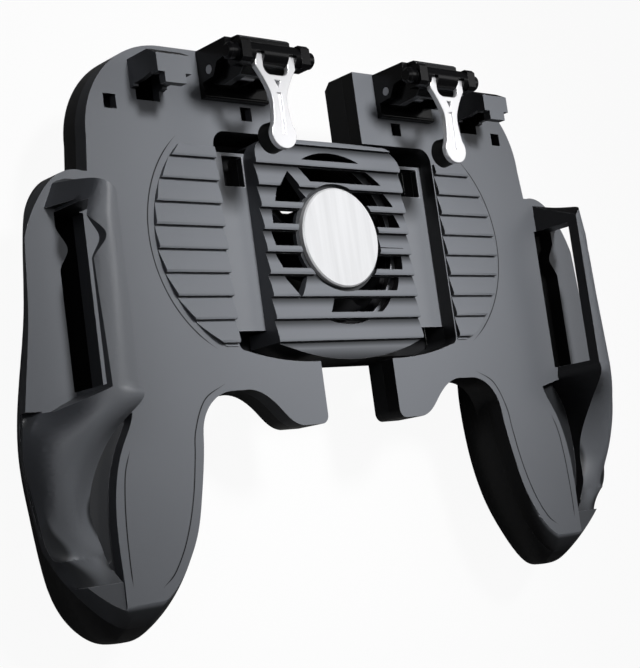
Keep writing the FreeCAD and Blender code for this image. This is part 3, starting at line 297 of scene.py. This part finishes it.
# Painted highlights: the rounded edges get lighter colours than the faces beside them.
EDGE_HIGHLIGHTS: dict[Slot, Finish] = {
    Slot.FACE: Finish("face_edge_highlight", (0.42, 0.43, 0.46), 0.3, mottle=0.1, mottle_size=5 * MM),
    Slot.TRIGGER: Finish("trigger_edge_highlight", (0.05, 0.052, 0.056), 0.25, mottle=0.1, mottle_size=4 * MM),
    Slot.BRIDGE: Finish("bridge_edge", (0.32, 0.33, 0.36), 0.32, mottle=0.1, mottle_size=5 * MM),
}


@dataclass
class Dresser:
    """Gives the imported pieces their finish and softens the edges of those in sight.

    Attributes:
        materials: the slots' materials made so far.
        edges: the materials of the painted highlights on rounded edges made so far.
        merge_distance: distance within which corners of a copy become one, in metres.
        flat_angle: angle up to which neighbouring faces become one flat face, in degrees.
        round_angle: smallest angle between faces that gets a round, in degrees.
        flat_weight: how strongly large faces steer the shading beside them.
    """

    materials: dict[Slot, bpy.types.Material] = field(default_factory=dict)
    edges: dict[Slot, bpy.types.Material] = field(default_factory=dict)
    merge_distance: float = 2e-6
    flat_angle: float = 0.6
    round_angle: float = 32.0
    flat_weight: int = 100

    def material(self, slot: Slot) -> bpy.types.Material:
        """The slot's material, made once."""
        if slot not in self.materials:
            self.materials[slot] = FINISHES[slot].build()
        return self.materials[slot]

    def edge_material(self, slot: Slot) -> bpy.types.Material:
        """The material of the painted highlight on the slot's rounded edges, made once."""
        if slot not in self.edges:
            self.edges[slot] = EDGE_HIGHLIGHTS[slot].build()
        return self.edges[slot]

    def paint(self, node: str, slot: Slot) -> None:
        """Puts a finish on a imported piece.

        Args:
            node: the piece's name.
            slot: the material slot it has in the record.
        """
        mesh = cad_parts[node].data
        mesh.materials.clear()
        mesh.materials.append(self.material(slot))
        LOG.info("%s: %s", node, slot.value)

    def soften(self, node: str, slot: Slot, body: str, width: float, segments: int = 2,
               reshape: Callable[[bpy.types.Mesh], None] | None = None) -> None:
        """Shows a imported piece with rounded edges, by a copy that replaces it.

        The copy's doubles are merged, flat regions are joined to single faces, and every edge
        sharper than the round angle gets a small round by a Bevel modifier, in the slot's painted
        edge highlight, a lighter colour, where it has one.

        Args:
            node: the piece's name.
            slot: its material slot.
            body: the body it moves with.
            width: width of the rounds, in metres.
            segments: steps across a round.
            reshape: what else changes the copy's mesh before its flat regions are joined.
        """
        self.paint(node, slot)
        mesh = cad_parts[node].data.copy()
        work = bmesh.new()
        work.from_mesh(mesh)
        bmesh.ops.remove_doubles(work, verts=work.verts, dist=self.merge_distance)
        if reshape is not None:
            work.to_mesh(mesh)
            reshape(mesh)
            work.clear()
            work.from_mesh(mesh)
        bmesh.ops.dissolve_limit(work, angle_limit=math.radians(self.flat_angle),
                                 verts=work.verts, edges=work.edges)
        work.to_mesh(mesh)
        work.free()
        mesh.materials.clear()
        mesh.materials.append(self.material(slot))
        # A second material paints a highlight on the rounded edges.
        if slot in EDGE_HIGHLIGHTS:
            mesh.materials.append(self.edge_material(slot))
        mesh.shade_smooth()
        mesh.set_sharp_from_angle(angle=math.radians(self.round_angle))
        mesh.name = node + "_soft"
        piece = bpy.data.objects.new(node + "_soft", mesh)
        bpy.context.scene.collection.objects.link(piece)
        bevel = piece.modifiers.new("edge_rounds", "BEVEL")
        bevel.width = width
        bevel.segments = segments
        bevel.limit_method = "ANGLE"
        bevel.angle_limit = math.radians(self.round_angle)
        bevel.use_clamp_overlap = True
        # The rounds take the last material: the painted edge highlight where the slot has one.
        bevel.material = len(mesh.materials) - 1
        bevel.miter_outer = "MITER_SHARP"
        shade = piece.modifiers.new("flat_regions", "WEIGHTED_NORMAL")
        shade.mode = "FACE_AREA"
        shade.weight = self.flat_weight
        shade.keep_sharp = False
        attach(piece, body)
        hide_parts(node)


@dataclass(frozen=True)
class GrooveShade:
    """Painted shade of a fine groove in a wing's face: a thin dark ribbon that lies on it.

    Attributes:
        name: end of the ribbon's name.
        width: width of the line at its middle, in metres.
        level: height of the ribbon above the resting plane, in metres.
        end_share: share of the path over which either end narrows.
        tip_share: width at the tips as a share of the width at the middle.
    """

    name: str
    width: float = 0.3 * MM
    level: float = 27.02 * MM
    end_share: float = 0.1
    tip_share: float = 0.1

    def build(self, side: Side, path: np.ndarray) -> bpy.types.Object:
        """Lays the ribbon along a path.

        At each point the path's normal n is its direction turned by a right angle. The two rows of
        corners are p + w n / 2 and p - w n / 2, where w falls in a straight line from the full width
        to that of the tips over the end shares of the path.

        Args:
            side: the wing it lies on.
            path: points in X and Y on the right wing, in metres, one row each.

        Returns:
            The new object.
        """
        path = path * np.array([side.value, 1.0])
        way = np.gradient(path, axis=0)
        way /= np.linalg.norm(way, axis=1, keepdims=True)
        normal = np.stack([-way[:, 1], way[:, 0]], axis=1)
        share = np.linspace(0.0, 1.0, len(path))
        taper = np.clip(np.minimum(share, 1.0 - share) / self.end_share, self.tip_share, 1.0)[:, None]
        rows = [path + normal * taper * self.width / 2, path - normal * taper * self.width / 2]
        flat = np.stack(rows, axis=1).reshape(-1, 2)
        corners = np.column_stack([flat, np.full(len(flat), self.level)])
        start = np.arange(0, len(flat) - 2, 2)
        faces = np.stack([start, start + 1, start + 3, start + 2], axis=1)
        mesh = bpy.data.meshes.new(side.prefix + self.name)
        mesh.from_pydata(corners.tolist(), [], faces.tolist())
        ribbon = bpy.data.objects.new(side.prefix + self.name, mesh)
        bpy.context.scene.collection.objects.link(ribbon)
        return ribbon


def arc_path(centre: Pair, radius: float, start: float, end: float, count: int = 72) -> np.ndarray:
    """Points of an arc: centre + radius (cos a, sin a), with a in even steps.

    Args:
        centre: the arc's centre, in millimetres.
        radius: its radius, in millimetres.
        start: first angle in degrees.
        end: last angle in degrees.
        count: number of points.

    Returns:
        Its points in metres, one row each.
    """
    angle = np.radians(np.linspace(start, end, count))
    return (np.array(centre) + radius * np.stack([np.cos(angle), np.sin(angle)], axis=1)) * MM


def smooth_path(points: tuple[Pair, ...], steps: int = 12) -> np.ndarray:
    """Smooth path through points: between two of them the Catmull-Rom cubic of their neighbours.

    For four points a, b, c and d in a row, and the share t of the way from b to c, the path is
    b + t / 2 (c - a + t (2 a - 5 b + 4 c - d + t (3 (b - c) + d - a))). Before the first point
    and after the last stands one more, mirrored from its neighbour.

    Args:
        points: the points, in millimetres.
        steps: points per stretch.

    Returns:
        The path in metres, one row for each point.
    """
    knots = np.array(points)
    ends = np.vstack([2 * knots[0] - knots[1], knots, 2 * knots[-1] - knots[-2]])
    share = np.linspace(0.0, 1.0, steps, endpoint=False)[None, :, None]
    a, b, c, d = (ends[i:len(ends) - 3 + i][:, None, :] for i in range(4))
    bend = 2 * a - 5 * b + 4 * c - d + share * (3 * (b - c) + d - a)
    cubic = b + 0.5 * share * (c - a + share * bend)
    return np.vstack([cubic.reshape(-1, 2), knots[-1:]]) * MM


@dataclass
class Wing:
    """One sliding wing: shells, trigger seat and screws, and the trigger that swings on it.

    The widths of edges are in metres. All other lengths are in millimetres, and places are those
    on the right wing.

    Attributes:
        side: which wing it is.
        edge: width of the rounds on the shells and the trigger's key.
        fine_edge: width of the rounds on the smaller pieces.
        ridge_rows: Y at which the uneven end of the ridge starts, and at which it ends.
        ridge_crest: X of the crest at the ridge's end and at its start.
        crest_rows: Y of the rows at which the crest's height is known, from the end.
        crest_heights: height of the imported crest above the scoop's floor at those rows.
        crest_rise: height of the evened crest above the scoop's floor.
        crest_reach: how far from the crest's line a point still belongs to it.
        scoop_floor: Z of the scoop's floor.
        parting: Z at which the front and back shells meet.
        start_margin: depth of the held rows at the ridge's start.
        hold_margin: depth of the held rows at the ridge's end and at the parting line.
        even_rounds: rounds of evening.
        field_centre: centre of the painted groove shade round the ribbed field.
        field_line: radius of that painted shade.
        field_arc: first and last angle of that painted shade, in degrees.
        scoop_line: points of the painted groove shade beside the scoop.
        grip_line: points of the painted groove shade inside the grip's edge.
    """

    side: Side
    edge: float = 0.35 * MM
    fine_edge: float = 0.18 * MM
    ridge_rows: Pair = (-65.7, -71.3)
    ridge_crest: Pair = (71.6, 75.1)
    crest_rows: tuple[float, ...] = (-71.3, -71.0, -70.0, -69.0, -68.0, -67.0, -65.7)
    crest_heights: tuple[float, ...] = (2.3, 1.9, 1.0, 0.6, 0.9, 1.5, 2.2)
    crest_rise: float = 2.25
    crest_reach: float = 0.3
    scoop_floor: float = 24.2
    parting: float = 23.0
    start_margin: float = 0.1
    hold_margin: float = 0.05
    even_rounds: int = 300
    field_centre: Pair = (26.5, -0.5)
    field_line: float = 28.7
    field_arc: Pair = (50.0, -60.0)
    scoop_line: tuple[Pair, ...] = (
        (66.6, -45.6), (68.3, -50.0), (69.2, -56.0), (69.6, -62.0), (69.7, -68.0), (69.6, -72.5))
    grip_line: tuple[Pair, ...] = (
        (40.0, -33.0), (46.0, -36.2), (49.4, -42.5), (50.4, -48.0), (51.8, -55.0), (53.6, -61.0),
        (56.0, -66.5), (59.2, -71.2), (62.4, -73.6))

    def lines(self, dresser: Dresser) -> None:
        """Lays painted shade of grooves: dark ribbons round the ribbed field, beside the scoop
        and inside the grip.

        Args:
            dresser: the maker of finishes.
        """
        paths = {
            "field_line": arc_path(self.field_centre, self.field_line, *self.field_arc),
            "scoop_line": smooth_path(self.scoop_line),
            "grip_line": smooth_path(self.grip_line),
        }
        for name, path in paths.items():
            # Each dark ribbon is painted shade of a groove, in the dark back plastic.
            ribbon = GrooveShade(name).build(self.side, path)
            ribbon.data.materials.append(dresser.material(Slot.BACK))
            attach(ribbon, self.side.prefix + "wing")
            LOG.info("%s: %s", ribbon.name, Slot.BACK.value)

    def even_ridge(self, mesh: bpy.types.Mesh) -> None:
        """Evens out the last few millimetres of the ridge on a copy of the front shell.

        The crest is brought to one height: a height h above the scoop's floor becomes
        h * (evened crest height) / (packed crest height). Then every point between crest and
        parting line moves, round after round, to the mean of its neighbours, with the rows at
        both ends held, which leaves a taut skin between them.

        Args:
            mesh: the copy's mesh.
        """
        flat = np.empty(len(mesh.vertices) * 3)
        mesh.vertices.foreach_get("co", flat)
        spots = flat.reshape(-1, 3) / MM
        pairs = np.empty(len(mesh.edges) * 2, dtype=int)
        mesh.edges.foreach_get("vertices", pairs)
        pairs = pairs.reshape(-1, 2)
        x, y, z = spots[:, 0] * self.side.value, spots[:, 1], spots[:, 2]
        start, end = self.ridge_rows
        crest_x = np.interp(y, (end, start), self.ridge_crest)
        rows = (y < start - self.start_margin) & (y > end + self.hold_margin)
        span = rows & (z > self.parting + self.hold_margin)
        crest = span & (np.abs(x - crest_x) < self.crest_reach) & (z > self.scoop_floor)
        old = np.interp(y, self.crest_rows, self.crest_heights)
        spots[crest, 2] = self.scoop_floor + (z[crest] - self.scoop_floor) * self.crest_rise / old[crest]
        free = span & (x > crest_x + self.crest_reach)
        both = np.vstack([pairs, pairs[:, ::-1]])
        count = np.maximum(np.bincount(both[:, 0], minlength=len(spots)), 1)
        for _ in range(self.even_rounds):
            sums = [np.bincount(both[:, 0], spots[both[:, 1], axis], len(spots)) for axis in range(3)]
            spots[free] = (np.stack(sums, axis=1) / count[:, None])[free]
        mesh.vertices.foreach_set("co", (spots * MM).ravel())
        mesh.update()
        LOG.info("%s ridge evened, %d points", self.side.name.lower(), int(free.sum()))

    def dress(self, dresser: Dresser) -> None:
        """Finishes the wing's pieces.

        Args:
            dresser: the maker of finishes and softened copies.
        """
        start = self.side.prefix
        wing = start + "wing"
        trigger = start + "trigger"
        dresser.soften(start + "front_shell", Slot.FACE, wing, self.edge, reshape=self.even_ridge)
        dresser.soften(start + "back_shell", Slot.BACK, wing, self.edge)
        dresser.soften(start + "trigger_seat", Slot.TRIGGER, wing, self.fine_edge)
        dresser.soften(start + "trigger_key", Slot.TRIGGER, trigger, self.edge)
        dresser.soften(start + "trigger_bar", Slot.TRIGGER, trigger, self.fine_edge)
        dresser.soften(start + "trigger_lever", Slot.LEVER, trigger, self.fine_edge, segments=3)
        dresser.paint(start + "trigger_foot", Slot.FOOT)
        dresser.paint(start + "trigger_pin", Slot.SCREW)
        dresser.paint(start + "trigger_spring", Slot.SCREW)
        dresser.paint(start + "wing_screws", Slot.SCREW)
        self.lines(dresser)
        LOG.info("%s wing dressed", self.side.name.lower())


@dataclass
class Cooler:
    """The middle module: grille, badge, slide plate, fan, housing and its small parts.

    Attributes:
        edge: width of the rounds on the housing, in metres.
        fine_edge: width of the rounds on the other softened pieces, in metres.
    """

    edge: float = 0.3 * MM
    fine_edge: float = 0.15 * MM

    def dress(self, dresser: Dresser) -> None:
        """Finishes the cooler's pieces.

        Args:
            dresser: the maker of finishes and softened copies.
        """
        dresser.soften("front_grille", Slot.FACE, "cooler", self.fine_edge)
        dresser.soften("bridge_plate", Slot.BRIDGE, "cooler", self.fine_edge)
        dresser.soften("rear_housing", Slot.BACK, "cooler", self.edge)
        dresser.soften("rear_cover", Slot.BACK, "cooler", self.fine_edge)
        dresser.soften("power_button", Slot.BUTTON, "button", self.fine_edge)
        plain = {
            "badge_disc": Slot.BADGE, "fan_frame": Slot.FAN, "fan_rotor": Slot.FAN,
            "fan_shaft": Slot.SCREW, "cover_screws": Slot.SCREW, "battery_cell": Slot.BATTERY,
            "circuit_board": Slot.BOARD, "charging_inlet": Slot.SOCKET, "button_switch": Slot.FAN,
        }
        for node, slot in plain.items():
            dresser.paint(node, slot)
        LOG.info("cooler dressed")


@dataclass(frozen=True)
class Lamp:
    """A studio lamp that faces the part: a square panel, or a soft spot where it has a cone.

    Attributes:
        name: the lamp's name.
        place: where it hangs, in metres.
        width: side of the panel, or width of the spot's source, in metres.
        power: its power in watts.
        aim: the point it faces, in metres.
        cone: full angle of the spot's cone in degrees, or 0 for a panel.
        blend: share of the cone over which the spot fades.
    """

    name: str
    place: Triple
    width: float
    power: float
    aim: Triple = (0.0, 0.0, 0.02)
    cone: float = 0.0
    blend: float = 1.0

    def build(self) -> None:
        """Makes the lamp, turned towards its aim."""
        data = bpy.data.lights.new(self.name, "SPOT" if self.cone else "AREA")
        if self.cone:
            data.spot_size = math.radians(self.cone)
            data.spot_blend = self.blend
            data.shadow_soft_size = self.width / 2
        else:
            data.size = self.width
        data.energy = self.power
        lamp = bpy.data.objects.new(self.name, data)
        way = Vector(self.aim) - Vector(self.place)
        turn = way.to_track_quat("-Z", "Y").to_matrix().to_4x4()
        lamp.matrix_world = Matrix.Translation(self.place) @ turn
        bpy.context.scene.collection.objects.link(lamp)


@dataclass
class Studio:
    """Pale floor, soft lamps, white surroundings and the photograph's camera.

    Attributes:
        floor_half: half the floor's side, in metres.
        floor_bounce: grey of the floor where it lights the part.
        floor_white: grey of the floor where the camera sees it.
        floor_glow: share of even white in what the camera sees of the floor.
        floor_roughness: roughness of the floor.
        world_light: strength of the white surroundings.
        focal_pixels: the camera's focal length in pixels of the photograph.
        camera_place: where the camera stands, in metres.
        image_right: direction that runs to the right in the image.
        image_down: direction that runs down the image.
        view_way: direction in which the camera looks.
        sensor: the sensor's length along the image's longer side, in millimetres.
        near_end: distance at which the camera starts to see, in metres.
    """

    floor_half: float = 6.0
    floor_bounce: float = 0.15
    floor_white: float = 0.9
    floor_glow: float = 0.94
    floor_roughness: float = 0.9
    world_light: float = 0.06
    focal_pixels: float = 1520.9
    camera_place: Triple = (-0.2438, -0.0647, 0.2796)
    image_right: Triple = (0.7392, -0.1351, 0.6598)
    image_down: Triple = (-0.0186, -0.9834, -0.1805)
    view_way: Triple = (0.6732, 0.1211, -0.7294)
    sensor: float = 36.0
    near_end: float = 0.01

    def floor(self) -> None:
        """Makes the floor: a wide pale square that shows white to the camera, with a faint shadow."""
        grid = np.array([(-1, -1, 0), (1, -1, 0), (1, 1, 0), (-1, 1, 0)], float) * self.floor_half
        mesh = bpy.data.meshes.new("floor")
        mesh.from_pydata(grid.tolist(), [], [(0, 1, 2, 3)])
        material = bpy.data.materials.new("floor_paper")
        material.use_nodes = True
        nodes = material.node_tree.nodes
        links = material.node_tree.links
        paper = nodes["Principled BSDF"]
        paper.inputs["Roughness"].default_value = self.floor_roughness
        paper.inputs["Specular IOR Level"].default_value = 0.0
        rays = nodes.new("ShaderNodeLightPath")
        tone = nodes.new("ShaderNodeMix")
        tone.data_type = "RGBA"
        for socket, grey in (("A", self.floor_bounce), ("B", self.floor_white)):
            tone.inputs[socket].default_value = (grey, grey, grey, 1.0)
        links.new(rays.outputs["Is Camera Ray"], tone.inputs["Factor"])
        links.new(tone.outputs["Result"], paper.inputs["Base Color"])
        glow = nodes.new("ShaderNodeEmission")
        glow.inputs["Strength"].default_value = 1.0
        share = nodes.new("ShaderNodeMath")
        share.operation = "MULTIPLY"
        share.inputs[1].default_value = self.floor_glow
        blend = nodes.new("ShaderNodeMixShader")
        links.new(rays.outputs["Is Camera Ray"], share.inputs[0])
        links.new(share.outputs[0], blend.inputs["Fac"])
        links.new(paper.outputs["BSDF"], blend.inputs[1])
        links.new(glow.outputs["Emission"], blend.inputs[2])
        links.new(blend.outputs["Shader"], nodes["Material Output"].inputs["Surface"])
        mesh.materials.append(material)
        floor = bpy.data.objects.new("floor", mesh)
        bpy.context.scene.collection.objects.link(floor)

    def world(self) -> None:
        """Sets an even white surround."""
        world = bpy.data.worlds.new("studio")
        bpy.context.scene.world = world
        world.use_nodes = True
        shade = world.node_tree.nodes["Background"]
        shade.inputs["Color"].default_value = (1.0, 1.0, 1.0, 1.0)
        shade.inputs["Strength"].default_value = self.world_light

    def lamps(self) -> None:
        """Hangs the lamps: a soft spot on the cooler and a weak panel on either side."""
        lamps = (
            Lamp("key_spot", place=(0.0, 0.22, 0.53), width=0.14, power=15.0,
                 aim=(0.004, -0.002, 0.027), cone=25.0),
            Lamp("sheen_box", place=(0.55, 0.12, 0.6), width=0.3, power=0.4),
            Lamp("left_fill", place=(-0.5, 0.1, 0.5), width=0.3, power=0.45),
        )
        for lamp in lamps:
            lamp.build()

    def camera(self) -> None:
        """Sets the camera at the photograph's place, looking the photograph's way."""
        data = bpy.data.cameras.new("camera")
        data.sensor_width = self.sensor
        data.lens = self.focal_pixels * self.sensor / max(IMAGE_WIDTH, IMAGE_HEIGHT)
        data.clip_start = self.near_end
        camera = bpy.data.objects.new("camera", data)
        right, down, way = (Vector(v) for v in (self.image_right, self.image_down, self.view_way))
        turn = Matrix((right, -down, -way)).transposed().to_4x4()
        camera.matrix_world = Matrix.Translation(self.camera_place) @ turn
        bpy.context.scene.collection.objects.link(camera)
        bpy.context.scene.camera = camera

    def build(self) -> None:
        """Sets up the whole studio."""
        self.floor()
        self.world()
        self.lamps()
        self.camera()
        bpy.context.scene.view_settings.view_transform = "Standard"
        LOG.info("studio set")


def main() -> None:
    """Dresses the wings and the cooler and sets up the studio."""
    logging.basicConfig(level=logging.INFO)
    dresser = Dresser()
    for side in Side:
        Wing(side).dress(dresser)
    Cooler().dress(dresser)
    Studio().build()


if __name__ == "__main__":
    main()
